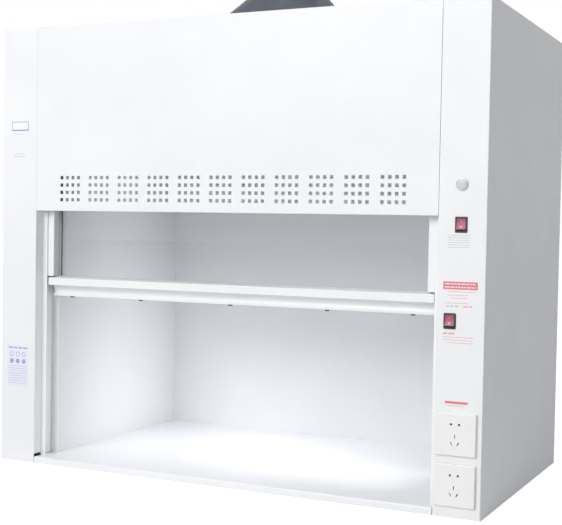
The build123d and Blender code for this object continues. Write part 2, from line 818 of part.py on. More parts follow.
def switch_housing(x, z):
    """Rocker switch housing at (x, z) on the pillar face: bezel, body and the rocker's well."""
    with BuildPart() as housing:
        with BuildSketch(facing_front(front)):
            with Locations((x, z)):
                RectangleRounded(bezel_width, bezel_height, bezel_thickness)
        extrude(amount=bezel_thickness)
        fillet(housing.edges().group_by(Axis.Y)[0], radius=bezel_thickness / 2)
        with BuildSketch(facing_front(front)):
            with Locations((x, z)):
                Rectangle(switch_body_width, switch_body_height)
        extrude(amount=-switch_body_depth)
        with BuildSketch(facing_front(front - bezel_thickness)):
            with Locations((x, z)):
                Rectangle(rocker_width + 2 * rocker_side_gap, 2 * rocker_well_half_height)
        extrude(amount=-rocker_well_depth, mode=Mode.SUBTRACT)
        pin_reach = rocker_width / 2 + rocker_pin_length + rocker_pin_gap
        with BuildSketch(section_plane(x - pin_reach)):
            with Locations((front + rocker_pivot_depth, z)):
                Circle(rocker_pin_radius + rocker_pin_gap)
        extrude(amount=2 * pin_reach, mode=Mode.SUBTRACT)
    return housing


def switch_rocker(x, z):
    """Rocker with a dished face and two pivot pins, tipped so that its top end is pressed in."""
    pivot = Plane(origin=(x, front + rocker_pivot_depth, z), x_dir=(0, 1, 0), z_dir=(1, 0, 0))
    tipped = pivot.rotated((-rocker_tilt, 0, 0))
    with BuildPart() as rocker:
        with BuildSketch(tipped.offset(-rocker_width / 2)) as rocker_section:
            with BuildLine():
                ThreePointArc(
                    (-rocker_reach, rocker_half_height),
                    (-rocker_reach + rocker_dish, 0),
                    (-rocker_reach, -rocker_half_height),
                )
                Polyline(
                    (-rocker_reach, -rocker_half_height),
                    (0, -rocker_half_height),
                    (rocker_back, -rocker_back),
                    (rocker_back, rocker_back),
                    (0, rocker_half_height),
                    (-rocker_reach, rocker_half_height),
                )
            make_face()
        extrude(amount=rocker_width)
        with BuildSketch(tipped.offset(-rocker_width / 2 - rocker_pin_length)):
            Circle(rocker_pin_radius)
        extrude(amount=rocker_width + 2 * rocker_pin_length)
    return rocker


light_switch_housing = switch_housing(side - light_switch_inset, light_switch_height)
light_switch_rocker = switch_rocker(side - light_switch_inset, light_switch_height)
fan_switch_housing = switch_housing(side - fan_switch_inset, fan_switch_height)
fan_switch_rocker = switch_rocker(side - fan_switch_inset, fan_switch_height)

# Round push button: ringed barrel, sprung cap and hexagon nut behind the sheet
button_x = side - button_inset
with BuildPart() as power_button_body:
    with BuildSketch(facing_front(front)):
        with Locations((button_x, button_height)):
            Circle(button_ring_radius)
    extrude(amount=button_ring_height)
    fillet(power_button_body.edges().group_by(Axis.Y)[0], radius=button_ring_height / 2)
    with BuildSketch(facing_front(front)):
        with Locations((button_x, button_height)):
            Circle(button_barrel_radius)
    extrude(amount=-button_barrel_length)
    with BuildSketch(facing_front(front - button_ring_height)):
        with Locations((button_x, button_height)):
            Circle(button_cap_radius + button_cap_gap)
    extrude(amount=-button_well_depth, mode=Mode.SUBTRACT)

with BuildPart() as power_button_cap:
    with BuildSketch(facing_front(front)):
        with Locations((button_x, button_height)):
            Circle(button_cap_radius)
    extrude(amount=button_ring_height + button_cap_proud)
    fillet(power_button_cap.edges().group_by(Axis.Y)[0], radius=button_cap_proud / 2)
    stem_length = button_well_depth - button_ring_height - button_travel - button_cap_gap
    with BuildSketch(facing_front(front)):
        with Locations((button_x, button_height)):
            Circle(button_stem_radius)
    extrude(amount=-stem_length)

with BuildPart() as power_button_nut:
    with BuildSketch(facing_front(front + sheet + button_nut_height)):
        with Locations((button_x, button_height)):
            RegularPolygon(button_nut_width / 2, 6, major_radius=False)
            Circle(button_barrel_radius, mode=Mode.SUBTRACT)
    extrude(amount=button_nut_height)


def draw_socket_holes(x, z):
    """Two round holes above an earth slot and two slanted slots, round the centre (x, z)."""
    for end in (-1, 1):
        with Locations((x + end * round_hole_offset, z + round_hole_rise)):
            Circle(round_hole_radius)
        with Locations(Location((x + end * live_slot_offset, z - live_slot_drop), -end * live_slot_tilt)):
            Rectangle(pin_slot_width, pin_slot_length)
    with Locations((x, z - earth_slot_drop)):
        Rectangle(pin_slot_width, pin_slot_length)


def socket_front(z):
    """Moulded front plate of a five-hole socket centred at height z."""
    x = side - socket_inset
    with BuildPart() as plate:
        with BuildSketch(facing_front(front)):
            with Locations((x, z)):
                RectangleRounded(socket_plate, socket_plate, socket_plate_corner)
        extrude(amount=socket_plate_thickness)
        fillet(plate.edges().group_by(Axis.Y)[0], radius=socket_edge_round)
        with BuildSketch(facing_front(front)):
            draw_socket_holes(x, z)
        extrude(amount=socket_plate_thickness, mode=Mode.SUBTRACT)
    return plate


def socket_insert(z):
    """Body behind the plate, with the contact wells in line with the plate's holes."""
    x = side - socket_inset
    with BuildPart() as insert:
        with BuildSketch(facing_front(front)):
            with Locations((x, z)):
                Rectangle(socket_core, socket_core)
        extrude(amount=-socket_core_depth)
        with BuildSketch(facing_front(front)):
            draw_socket_holes(x, z)
        extrude(amount=-contact_depth, mode=Mode.SUBTRACT)
    return insert


upper_socket_plate = socket_front(upper_socket_height)
lower_socket_plate = socket_front(lower_socket_height)
upper_socket_core = socket_insert(upper_socket_height)
lower_socket_core = socket_insert(lower_socket_height)

# Screws through the back panel into the rear flanges
with BuildPart() as back_panel_screws:
    for plane_y, length, radius in (
        (back + screw_head_height, screw_head_height, screw_head_radius),
        (back, screw_length, screw_radius),
    ):
        with BuildSketch(facing_front(plane_y)):
            with Locations((0, hood_height / 2)):
                with GridLocations(hood_width - rear_flange, back_screw_pitch, 2, back_screw_count):
                    Circle(radius)
        extrude(amount=length)
    chamfer(back_panel_screws.edges().group_by(Axis.Y)[-1], length=screw_head_height / 3)

# Mains inlet: cable gland in the back panel, its domed cap and the nut inside
gland_x = side - gland_inset
with BuildPart() as mains_gland:
    with BuildSketch(facing_front(back + gland_hex_height)):
        with Locations((gland_x, gland_height)):
            RegularPolygon(gland_hex / 2, 6, major_radius=False)
    extrude(amount=gland_hex_height)
    with BuildSketch(facing_front(back)):
        with Locations((gland_x, gland_height)):
            Circle(gland_thread_radius)
    extrude(amount=sheet + gland_inner_length)
    with BuildSketch(facing_front(back + gland_hex_height)):
        with Locations((gland_x, gland_height)):
            Circle(gland_hole_radius)
    extrude(amount=gland_hex_height + sheet + gland_inner_length, mode=Mode.SUBTRACT)

with BuildPart() as mains_gland_cap:
    with BuildSketch(facing_front(back + gland_hex_height + gland_cap_length)):
        with Locations((gland_x, gland_height)):
            Circle(gland_cap_radius)
    extrude(amount=gland_cap_length)
    fillet(mains_gland_cap.edges().group_by(Axis.Y)[-1], radius=gland_cap_radius / 2)
    with BuildSketch(facing_front(back + gland_hex_height + gland_cap_length)):
        with Locations((gland_x, gland_height)):
            Circle(gland_hole_radius)
    extrude(amount=gland_cap_length, mode=Mode.SUBTRACT)

with BuildPart() as mains_gland_nut:
    with BuildSketch(facing_front(back_skin)):
        with Locations((gland_x, gland_height)):
            RegularPolygon(gland_hex / 2, 6, major_radius=False)
            Circle(gland_thread_radius, mode=Mode.SUBTRACT)
    extrude(amount=gland_nut_height)

save(left_side_panel, "left_side_panel")
save(right_side_panel, "right_side_panel")
save(back_panel, "back_panel")
save(base_pan, "base_pan")
save(roof_panel, "roof_panel")
save(front_fascia, "front_fascia")
save(worktop, "worktop")
save(left_liner, "left_liner")
save(right_liner, "right_liner")
save(back_liner, "back_liner")
save(ceiling_liner, "ceiling_liner")
save(left_sash_guide, "left_sash_guide")
save(right_sash_guide, "right_sash_guide")
save(inner_duct, "inner_duct")
save(exhaust_collar, "exhaust_collar")
save(collar_screws, "collar_screws")
save(lamp_housing, "lamp_housing")
save(lamp_diffuser, "lamp_diffuser")
save(left_stile, "left_stile")
save(right_stile, "right_stile")
save(sash_top_rail, "sash_top_rail")
save(sash_handle_rail, "sash_handle_rail")
save(left_rail_end_cap, "left_rail_end_cap")
save(right_rail_end_cap, "right_rail_end_cap")
save(sash_glass, "sash_glass")
save(left_glass_gasket, "left_glass_gasket")
save(right_glass_gasket, "right_glass_gasket")
save(sash_glides, "sash_glides")
save(sash_bumpers, "sash_bumpers")
save(cable_ferrules, "cable_ferrules")
save(left_pulley_bracket, "left_pulley_bracket")
save(right_pulley_bracket, "right_pulley_bracket")
save(left_pulley_axle, "left_pulley_axle")
save(right_pulley_axle, "right_pulley_axle")
save(left_pulley, "left_pulley")
save(right_pulley, "right_pulley")
save(left_sash_cable, "left_sash_cable")
save(right_sash_cable, "right_sash_cable")
save(left_pulley_cable, "left_pulley_cable")
save(right_pulley_cable, "right_pulley_cable")
save(left_weight_cable, "left_weight_cable")
save(right_weight_cable, "right_weight_cable")
save(left_counterweight, "left_counterweight")
save(right_counterweight, "right_counterweight")
save(light_switch_housing, "light_switch_housing")
save(light_switch_rocker, "light_switch_rocker")
save(fan_switch_housing, "fan_switch_housing")
save(fan_switch_rocker, "fan_switch_rocker")
save(power_button_body, "power_button_body")
save(power_button_cap, "power_button_cap")
save(power_button_nut, "power_button_nut")
save(upper_socket_plate, "upper_socket_plate")
save(lower_socket_plate, "lower_socket_plate")
save(upper_socket_core, "upper_socket_core")
save(lower_socket_core, "lower_socket_core")
save(back_panel_screws, "back_panel_screws")
save(mains_gland, "mains_gland")
save(mains_gland_cap, "mains_gland_cap")
save(mains_gland_nut, "mains_gland_nut")
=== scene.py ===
"""Looks of a benchtop fume hood with a counterweighted sash.

Metres throughout. +X is to the right, the front faces -Y and +Z is up.
"""

import json
import math
import random

import bmesh
import bpy
from mathutils import Matrix, Vector


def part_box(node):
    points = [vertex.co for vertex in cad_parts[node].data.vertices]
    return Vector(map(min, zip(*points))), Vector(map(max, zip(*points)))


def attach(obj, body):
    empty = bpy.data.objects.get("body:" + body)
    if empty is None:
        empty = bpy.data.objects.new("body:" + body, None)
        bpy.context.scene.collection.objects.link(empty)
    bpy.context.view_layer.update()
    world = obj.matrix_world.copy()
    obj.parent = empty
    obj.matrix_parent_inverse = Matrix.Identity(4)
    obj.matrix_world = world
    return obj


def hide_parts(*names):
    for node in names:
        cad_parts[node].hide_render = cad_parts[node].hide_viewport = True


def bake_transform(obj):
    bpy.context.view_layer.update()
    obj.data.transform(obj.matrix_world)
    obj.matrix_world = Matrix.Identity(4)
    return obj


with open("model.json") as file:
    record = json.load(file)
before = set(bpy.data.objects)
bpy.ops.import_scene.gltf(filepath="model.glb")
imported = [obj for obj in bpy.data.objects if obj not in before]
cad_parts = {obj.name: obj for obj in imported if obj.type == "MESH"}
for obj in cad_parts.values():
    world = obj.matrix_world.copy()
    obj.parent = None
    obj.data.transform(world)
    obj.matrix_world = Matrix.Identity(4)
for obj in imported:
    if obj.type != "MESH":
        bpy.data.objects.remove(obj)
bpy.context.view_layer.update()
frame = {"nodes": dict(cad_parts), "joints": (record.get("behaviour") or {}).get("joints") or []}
nodes = frame["nodes"]

# Cabinet sheets: folded steel panels under a baked powder coat, which lies in a fine orange peel.
# The side panels, fascia, roof, back and floor pan all come out of the same paint line.
paint_white = (0.845, 0.85, 0.86)
paint_shadow = (0.83, 0.836, 0.848)
paint_light = (0.86, 0.865, 0.873)
pattern_low, pattern_high = 0.35, 0.65  # the band in which most of a noise pattern lies


def set_even(finish, values):
    """Set values that are the same all over the surface, on the shader's own sockets."""
    sockets = finish.node_tree.nodes["Principled BSDF"].inputs
    for socket, value in values.items():
        sockets[socket].default_value = value


def new_finish(name, colour, roughness, metallic=0.0):
    """Material with an even colour, which its patterns then vary."""
    finish = bpy.data.materials.new(name)
    finish.use_nodes = True
    set_even(finish, {"Base Color": (*colour, 1.0), "Roughness": roughness, "Metallic": metallic})
    return finish


def surface_noise(finish, scale, detail=2.0, stretch=(1.0, 1.0, 1.0)):
    """Noise on the object's own coordinates. A small stretch value draws it out along that axis."""
    tree = finish.node_tree
    place = tree.nodes.new("ShaderNodeTexCoord")
    mapping = tree.nodes.new("ShaderNodeMapping")
    mapping.inputs["Scale"].default_value = stretch
    noise = tree.nodes.new("ShaderNodeTexNoise")
    noise.inputs["Scale"].default_value = scale
    noise.inputs["Detail"].default_value = detail
    tree.links.new(place.outputs["Object"], mapping.inputs["Vector"])
    tree.links.new(mapping.outputs["Vector"], noise.inputs["Vector"])
    return noise.outputs["Fac"]


def vary_colour(finish, pattern, dark, light):
    """The base colour runs from dark to light along the pattern."""
    tree = finish.node_tree
    ramp = tree.nodes.new("ShaderNodeValToRGB")
    stops = ramp.color_ramp.elements
    for stop, position, colour in zip(stops, (pattern_low, pattern_high), (dark, light)):
        stop.position = position
        stop.color = (*colour, 1.0)
    tree.links.new(pattern, ramp.inputs["Fac"])
    tree.links.new(ramp.outputs["Color"], tree.nodes["Principled BSDF"].inputs["Base Color"])


def vary_roughness(finish, pattern, low, high):
    """The roughness runs from low to high along the pattern."""
    tree = finish.node_tree
    spread = tree.nodes.new("ShaderNodeMapRange")
    spread.inputs["From Min"].default_value = pattern_low
    spread.inputs["From Max"].default_value = pattern_high
    spread.inputs["To Min"].default_value = low
    spread.inputs["To Max"].default_value = high
    tree.links.new(pattern, spread.inputs["Value"])
    tree.links.new(spread.outputs["Result"], tree.nodes["Principled BSDF"].inputs["Roughness"])


def add_relief(finish, pattern, depth, strength=1.0):
    """Bump of the given depth in metres along the pattern."""
    tree = finish.node_tree
    bump = tree.nodes.new("ShaderNodeBump")
    bump.inputs["Distance"].default_value = depth
    bump.inputs["Strength"].default_value = strength
    tree.links.new(pattern, bump.inputs["Height"])
    tree.links.new(bump.outputs["Normal"], tree.nodes["Principled BSDF"].inputs["Normal"])


def dress(node_names, finish):
    """Give CAD nodes their finish."""
    for node_name in node_names:
        mesh = nodes[node_name].data
        mesh.materials.clear()
        mesh.materials.append(finish)


powder_coat = new_finish("powder_coat", paint_white, roughness=0.4)
set_even(powder_coat, {"Specular IOR Level": 0.3})
vary_colour(powder_coat, surface_noise(powder_coat, scale=5.0), paint_shadow, paint_light)
vary_roughness(powder_coat, surface_noise(powder_coat, scale=60.0), low=0.36, high=0.44)
add_relief(powder_coat, surface_noise(powder_coat, scale=900.0, detail=1.0), depth=4e-5, strength=0.4)
dress(
    ["left_side_panel", "right_side_panel", "back_panel", "base_pan", "roof_panel", "front_fascia"],
    powder_coat,
)

# Worktop and linings: solid white laminate boards with a faint cloud in the colour and a soft sheen.
# The worktop is ground smoother than the walls and the ceiling.
laminate_white = (0.84, 0.845, 0.86)
laminate_cloud = (0.835, 0.84, 0.855)
lining_white = (0.79, 0.795, 0.82)
lining_cloud = (0.775, 0.78, 0.81)

worktop_laminate = new_finish("worktop_laminate", laminate_white, roughness=0.3)
vary_colour(worktop_laminate, surface_noise(worktop_laminate, scale=6.0), laminate_cloud, laminate_white)
vary_roughness(worktop_laminate, surface_noise(worktop_laminate, scale=10.0), low=0.3, high=0.34)
sanding_marks = surface_noise(worktop_laminate, scale=1500.0, detail=1.0)
add_relief(worktop_laminate, sanding_marks, depth=1e-5, strength=0.1)
dress(["worktop"], worktop_laminate)

lining_board = new_finish("lining_board", lining_white, roughness=0.45)
vary_colour(lining_board, surface_noise(lining_board, scale=8.0, detail=4.0), lining_cloud, lining_white)
vary_roughness(lining_board, surface_noise(lining_board, scale=120.0, detail=3.0), low=0.4, high=0.52)
add_relief(lining_board, surface_noise(lining_board, scale=1100.0), depth=4e-5, strength=0.4)
dress(["left_liner", "right_liner", "back_liner", "ceiling_liner"], lining_board)

# Sash guides and sash frame: drawn aluminium sections, powder coated white and cut to length.
# Faint die lines run along each section under the paint.
section_white = (0.86, 0.865, 0.87)
section_shadow = (0.845, 0.85, 0.858)


def drawn_section(name, stretch):
    """White coat over die lines that run along the axis with the small stretch value."""
    finish = new_finish(name, section_white, roughness=0.32)
    vary_colour(finish, surface_noise(finish, scale=6.0), section_shadow, section_white)
    vary_roughness(finish, surface_noise(finish, scale=80.0), low=0.28, high=0.36)
    die_lines = surface_noise(finish, scale=500.0, detail=1.0, stretch=stretch)
    add_relief(finish, die_lines, depth=3e-5, strength=0.5)
    return finish


upright_section = drawn_section("upright_section", stretch=(1.0, 1.0, 0.01))
level_section = drawn_section("level_section", stretch=(0.01, 1.0, 1.0))
dress(["left_sash_guide", "right_sash_guide", "left_stile", "right_stile"], upright_section)
dress(["sash_top_rail", "sash_handle_rail"], level_section)

# Rail ends, glides, pulleys, gaskets and bumpers: white and natural nylon mouldings, grey glazing
# rubber and dark rubber pads. All but the pulleys are pressed or clipped onto the sash frame.
cap_moulding = new_finish("cap_moulding", (0.84, 0.84, 0.83), roughness=0.35)
add_relief(cap_moulding, surface_noise(cap_moulding, scale=1500.0), depth=3e-5, strength=0.4)
dress(["left_rail_end_cap", "right_rail_end_cap"], cap_moulding)

nylon_dark = (0.75, 0.73, 0.65)
nylon_light = (0.8, 0.78, 0.71)
natural_nylon = new_finish("natural_nylon", (0.78, 0.76, 0.68), roughness=0.45)
set_even(natural_nylon, {"Subsurface Weight": 0.1})
vary_colour(natural_nylon, surface_noise(natural_nylon, scale=70.0), nylon_dark, nylon_light)
add_relief(natural_nylon, surface_noise(natural_nylon, scale=900.0), depth=3e-5, strength=0.5)
dress(["sash_glides", "left_pulley", "right_pulley"], natural_nylon)

glazing_rubber = new_finish("glazing_rubber", (0.36, 0.365, 0.375), roughness=0.55)
vary_roughness(glazing_rubber, surface_noise(glazing_rubber, scale=200.0, detail=3.0), low=0.45, high=0.65)
add_relief(glazing_rubber, surface_noise(glazing_rubber, scale=800.0), depth=5e-5, strength=0.5)
dress(["left_glass_gasket", "right_glass_gasket"], glazing_rubber)

pad_rubber = new_finish("pad_rubber", (0.05, 0.05, 0.055), roughness=0.7)
add_relief(pad_rubber, surface_noise(pad_rubber, scale=900.0, detail=3.0), depth=8e-5, strength=0.6)
dress(["sash_bumpers"], pad_rubber)

# Sash pane: one sheet of clear toughened low-iron glass, nearly free of green, with seamed edges
# that sit in the rails. It is not quite flat, so its reflection wanders a little.
pane = new_finish("pane", (0.955, 0.965, 0.97), roughness=0.0)
set_even(pane, {"Transmission Weight": 1.0, "IOR": 1.5})
add_relief(pane, surface_noise(pane, scale=7.0, detail=1.0), depth=2e-4, strength=0.05)
dress(["sash_glass"], pane)

# Roof collar and duct: the collar is one dark moulding with a fine grain, screwed to the roof. The
# duct below it and the lamp's housing are galvanised sheet, which shows its spangle.
collar_dark = (0.052, 0.062, 0.085)
collar_light = (0.07, 0.08, 0.105)
collar_moulding = new_finish("collar_moulding", (0.06, 0.07, 0.095), roughness=0.45)
collar_cloud = surface_noise(collar_moulding, scale=30.0, detail=3.0)
vary_colour(collar_moulding, collar_cloud, collar_dark, collar_light)
vary_roughness(collar_moulding, surface_noise(collar_moulding, scale=120.0), low=0.4, high=0.55)
add_relief(collar_moulding, surface_noise(collar_moulding, scale=1300.0), depth=6e-5, strength=0.6)
dress(["exhaust_collar"], collar_moulding)

spangle_scale = 90.0
galvanised = new_finish("galvanised", (0.5, 0.52, 0.54), roughness=0.35, metallic=1.0)
spangle_tree = galvanised.node_tree
spangle_place = spangle_tree.nodes.new("ShaderNodeTexCoord")
spangle = spangle_tree.nodes.new("ShaderNodeTexVoronoi")
spangle.inputs["Scale"].default_value = spangle_scale
spangle_tree.links.new(spangle_place.outputs["Object"], spangle.inputs["Vector"])
spangle_grey = spangle_tree.nodes.new("ShaderNodeSeparateColor")
spangle_tree.links.new(spangle.outputs["Color"], spangle_grey.inputs["Color"])
vary_colour(galvanised, spangle_grey.outputs["Red"], dark=(0.42, 0.44, 0.46), light=(0.6, 0.62, 0.64))
vary_roughness(galvanised, spangle_grey.outputs["Green"], low=0.28, high=0.48)
dress(["inner_duct", "lamp_housing"], galvanised)

# Lamp: an opal acrylic diffuser that lies in the ceiling's cut-out, under its galvanised housing.
# The sheet scatters light within it and has a fine matt grain.
opal_acrylic = new_finish("opal_acrylic", (0.87, 0.87, 0.84), roughness=0.25)
set_even(opal_acrylic, {"Subsurface Weight": 0.3})
add_relief(opal_acrylic, surface_noise(opal_acrylic, scale=400.0), depth=4e-5, strength=0.4)
dress(["lamp_diffuser"], opal_acrylic)

# Lifting gear: zinc plated brackets, axles and ferrules, steel counterweights under grey paint.
# Each bar shows its saw marks through the paint.
zinc_dark = (0.55, 0.56, 0.58)
zinc_light = (0.68, 0.69, 0.68)
zinc_plate = new_finish("zinc_plate", (0.62, 0.63, 0.64), roughness=0.3, metallic=1.0)
vary_colour(zinc_plate, surface_noise(zinc_plate, scale=40.0, detail=3.0), zinc_dark, zinc_light)
vary_roughness(zinc_plate, surface_noise(zinc_plate, scale=150.0, detail=3.0), low=0.22, high=0.4)
dress(["left_pulley_bracket", "right_pulley_bracket"], zinc_plate)
dress(["left_pulley_axle", "right_pulley_axle", "cable_ferrules"], zinc_plate)

bar_dark = (0.16, 0.17, 0.18)
bar_light = (0.24, 0.25, 0.26)
bar_paint = new_finish("bar_paint", (0.2, 0.21, 0.22), roughness=0.5)
vary_colour(bar_paint, surface_noise(bar_paint, scale=12.0, detail=5.0), bar_dark, bar_light)
saw_marks = surface_noise(bar_paint, scale=260.0, detail=2.0, stretch=(0.2, 0.2, 1.0))
add_relief(bar_paint, saw_marks, depth=1e-4, strength=0.5)
dress(["left_counterweight", "right_counterweight"], bar_paint)

# Sash cables: stranded steel rope. On each side one run goes down to the sash and one to the
# counterweight. In the hood both change length as the sash travels; here each run is drawn once, at one
# length.
cable_radius = 0.00125
strand_count = 6
strand_points = 24
strand_groove = 0.12  # depth between two strands, as a share of the radius
lay_length = 0.016  # height of one turn of the strands
cable_turns_per_ring = 1 / 12
fewest_rings = 4
rope_dark = (0.35, 0.36, 0.37)
rope_light = (0.55, 0.56, 0.57)

wire_rope = new_finish("wire_rope", (0.45, 0.46, 0.47), roughness=0.35, metallic=1.0)
vary_colour(wire_rope, surface_noise(wire_rope, scale=900.0), rope_dark, rope_light)
dress(["left_pulley_cable", "right_pulley_cable"], wire_rope)


def new_piece(shape, name, finishes):
    """Turn a finished bmesh into an object at the origin."""
    mesh = bpy.data.meshes.new(name)
    shape.to_mesh(mesh)
    shape.free()
    for finish in finishes:
        mesh.materials.append(finish)
    piece = bpy.data.objects.new(name, mesh)
    bpy.context.scene.collection.objects.link(piece)
    return piece


def cable_run(name, node_name):
    """Twisted rope from the piece that it pulls, at its foot, up to the pulley's height."""
    low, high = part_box(node_name)
    middle = (low + high) / 2
    length = high.z - low.z
    turns = length / lay_length
    rings = max(fewest_rings, round(turns / cable_turns_per_ring))
    rope = bmesh.new()
    foot = Matrix.Translation((middle.x, middle.y, low.z))
    ring = bmesh.ops.create_circle(
        rope, cap_ends=False, segments=strand_points, radius=cable_radius, matrix=foot
    )
    for vert in ring["verts"]:
        angle = math.atan2(vert.co.y - middle.y, vert.co.x - middle.x)
        lobe = 1 - strand_groove * (1 - abs(math.cos(strand_count * angle / 2)))
        vert.co.x = middle.x + (vert.co.x - middle.x) * lobe
        vert.co.y = middle.y + (vert.co.y - middle.y) * lobe
    bmesh.ops.spin(
        rope,
        geom=list(rope.edges),
        cent=middle,
        axis=(0, 0, 1),
        dvec=(0, 0, length / rings),
        angle=math.tau * turns,
        steps=rings,
        use_merge=False,
        use_duplicate=False,
    )
    ends = [edge for edge in rope.edges if edge.is_boundary]
    bmesh.ops.holes_fill(rope, edges=ends, sides=0)
    bmesh.ops.recalc_face_normals(rope, faces=list(rope.faces))
    for face in rope.faces:
        face.smooth = len(face.verts) == 4  # the two round ends stay flat
    piece = new_piece(rope, name, [wire_rope])
    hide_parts(node_name)
    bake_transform(piece)


for hand in ("left", "right"):
    cable_run(f"{hand}_sash_rope", f"{hand}_sash_cable")
    cable_run(f"{hand}_weight_rope", f"{hand}_weight_cable")

# Rocker switches: a black glass-filled nylon housing snaps into the pillar and holds a red
# translucent rocker, which carries the usual bar and ring in white.
switch_black = new_finish("switch_black", (0.018, 0.016, 0.02), roughness=0.35)
vary_roughness(switch_black, surface_noise(switch_black, scale=300.0, detail=3.0), low=0.3, high=0.42)
add_relief(switch_black, surface_noise(switch_black, scale=1600.0), depth=3e-5, strength=0.5)
dress(["light_switch_housing", "fan_switch_housing"], switch_black)

rocker_dark = (0.34, 0.075, 0.12)
rocker_light = (0.46, 0.12, 0.18)
rocker_red = new_finish("rocker_red", (0.4, 0.1, 0.15), roughness=0.32)
set_even(rocker_red, {"Subsurface Weight": 0.35, "Subsurface Radius": (0.004, 0.001, 0.001)})
set_even(rocker_red, {"Specular IOR Level": 0.25, "Coat Weight": 0.08, "Coat Roughness": 0.08})
vary_colour(rocker_red, surface_noise(rocker_red, scale=150.0), rocker_dark, rocker_light)
dress(["light_switch_rocker", "fan_switch_rocker"], rocker_red)

rocker_tilt = math.radians(9.0)
mark_height = 0.0055  # centre of each mark above or below the pivot
mark_reach = 0.00672  # from the pivot out to the middle of the mark's thickness
mark_ring_radius = 0.0022
mark_line = 0.0006
mark_thickness = 0.00025
round_steps = 28
mark_white = new_finish("mark_white", (0.8, 0.78, 0.78), roughness=0.4)
add_relief(mark_white, surface_noise(mark_white, scale=2000.0), depth=2e-5, strength=0.3)


def keep_piece(shape, name, finishes, body):
    """Keep a closed shape as a piece that rides on a body."""
    bmesh.ops.recalc_face_normals(shape, faces=list(shape.faces))
    piece = new_piece(shape, name, finishes)
    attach(piece, body)
    return piece


def faces_since(shape, before):
    """Faces that the shape has gained since the set before was taken."""
    return [face for face in shape.faces if face not in before]


def verts_of(faces):
    """Each vertex of the faces once."""
    return list({vert for face in faces for vert in face.verts})


def flat_ring(shape, place, radius, line, depth, slot_index=0):
    """Ring of square section round the local Y axis, its front on the local XZ plane."""
    before = set(shape.faces)
    corners = ((radius, 0.0), (radius, depth), (radius - line, depth), (radius - line, 0.0))
    section = [shape.verts.new((x, y, 0.0)) for x, y in corners]
    outline = [shape.edges.new((section[k - 1], section[k])) for k in range(len(section))]
    bmesh.ops.spin(
        shape,
        geom=section + outline,
        cent=(0, 0, 0),
        axis=(0, 1, 0),
        angle=math.tau,
        steps=round_steps,
        use_merge=True,
    )
    ring = faces_since(shape, before)
    for face in ring:
        face.material_index = slot_index
    bmesh.ops.transform(shape, matrix=place, verts=verts_of(ring))


def rocker_marks(body, joint_name):
    """Bar above and ring below the pivot, on the rocker's tilted face."""
    pivot = next(joint["pos_m"] for joint in frame["joints"] if joint["name"] == joint_name)
    tilted = Matrix.Translation(pivot) @ Matrix.Rotation(-rocker_tilt, 4, "X")
    bar_place = tilted @ Matrix.Translation((0, -mark_reach, mark_height))
    bar_size = Matrix.Diagonal((mark_line, mark_thickness, 2 * mark_ring_radius, 1))
    ring_place = tilted @ Matrix.Translation((0, -mark_reach - mark_thickness / 2, -mark_height))
    marks = bmesh.new()
    bmesh.ops.create_cube(marks, size=1.0, matrix=bar_place @ bar_size)
    flat_ring(marks, ring_place, mark_ring_radius, mark_line, mark_thickness)
    keep_piece(marks, f"{body}_marks", [mark_white], body)


rocker_marks("light_rocker", "light_switch_tilt")
rocker_marks("fan_rocker", "fan_switch_tilt")

# Push button: a turned stainless ring and cap, both faced on a lathe. The ring is held by a nut
# behind the sheet.
turned_steel = new_finish("turned_steel", (0.4, 0.4, 0.42), roughness=0.22, metallic=1.0)
vary_roughness(turned_steel, surface_noise(turned_steel, scale=900.0, detail=3.0), low=0.14, high=0.32)
add_relief(turned_steel, surface_noise(turned_steel, scale=1800.0), depth=2e-5, strength=0.4)
dress(["power_button_body", "power_button_cap", "power_button_nut"], turned_steel)

# Sockets: glossy white urea plates over near-black cores, whose contact wells show through
# the plate's round holes and slots. The cores' black is partly painted shade for the depth of the wells.
urea_white = new_finish("urea_white", (0.86, 0.86, 0.85), roughness=0.18)
vary_roughness(urea_white, surface_noise(urea_white, scale=60.0), low=0.15, high=0.22)
add_relief(urea_white, surface_noise(urea_white, scale=1200.0), depth=2e-5, strength=0.3)
dress(["upper_socket_plate", "lower_socket_plate"], urea_white)

# Near-black cores: partly their own colour, partly painted shade that darkens the deep contact wells.
black_core_painted_shade = new_finish("black_core_painted_shade", (0.02, 0.02, 0.02), roughness=0.5)
add_relief(black_core_painted_shade, surface_noise(black_core_painted_shade, scale=900.0), depth=5e-5, strength=0.5)
dress(["upper_socket_core", "lower_socket_core"], black_core_painted_shade)

# Mains inlet: a black nylon cable gland on the back panel, with its cap outside and its nut
# inside the panel.
gland_nylon = new_finish("gland_nylon", (0.03, 0.03, 0.032), roughness=0.5)
vary_roughness(gland_nylon, surface_noise(gland_nylon, scale=400.0, detail=3.0), low=0.42, high=0.6)
add_relief(gland_nylon, surface_noise(gland_nylon, scale=1500.0), depth=5e-5, strength=0.6)
dress(["mains_gland", "mains_gland_cap", "mains_gland_nut"], gland_nylon)

# Screws: zinc plated pan heads with a cross recess, on the back panel and the collar flange.
# Each head is spun from its half section and its recess is pushed in.
screw_head_radius = 0.0045
screw_head_height = 0.0026
screw_segments = 16
crown = ((1, 0), (1, 0.4), (0.86, 0.78), (0.62, 0.94), (0.3, 1), (0, 1))  # shares of radius and height
recess_depth = 0.0014
recess_reach = 0.5 * screw_head_radius
recess_half_angle = 5  # degrees to each side of an arm's middle
weld_distance = 1e-6


def on_cross(face):
    """Whether a face of the upright head lies on one of the recess's four arms."""
    middle = face.calc_center_median()
    past_arm = math.degrees(math.atan2(middle.y, middle.x)) % 90
    off_arm = min(past_arm, 90 - past_arm)
    return math.hypot(middle.x, middle.y) < recess_reach and off_arm < recess_half_angle


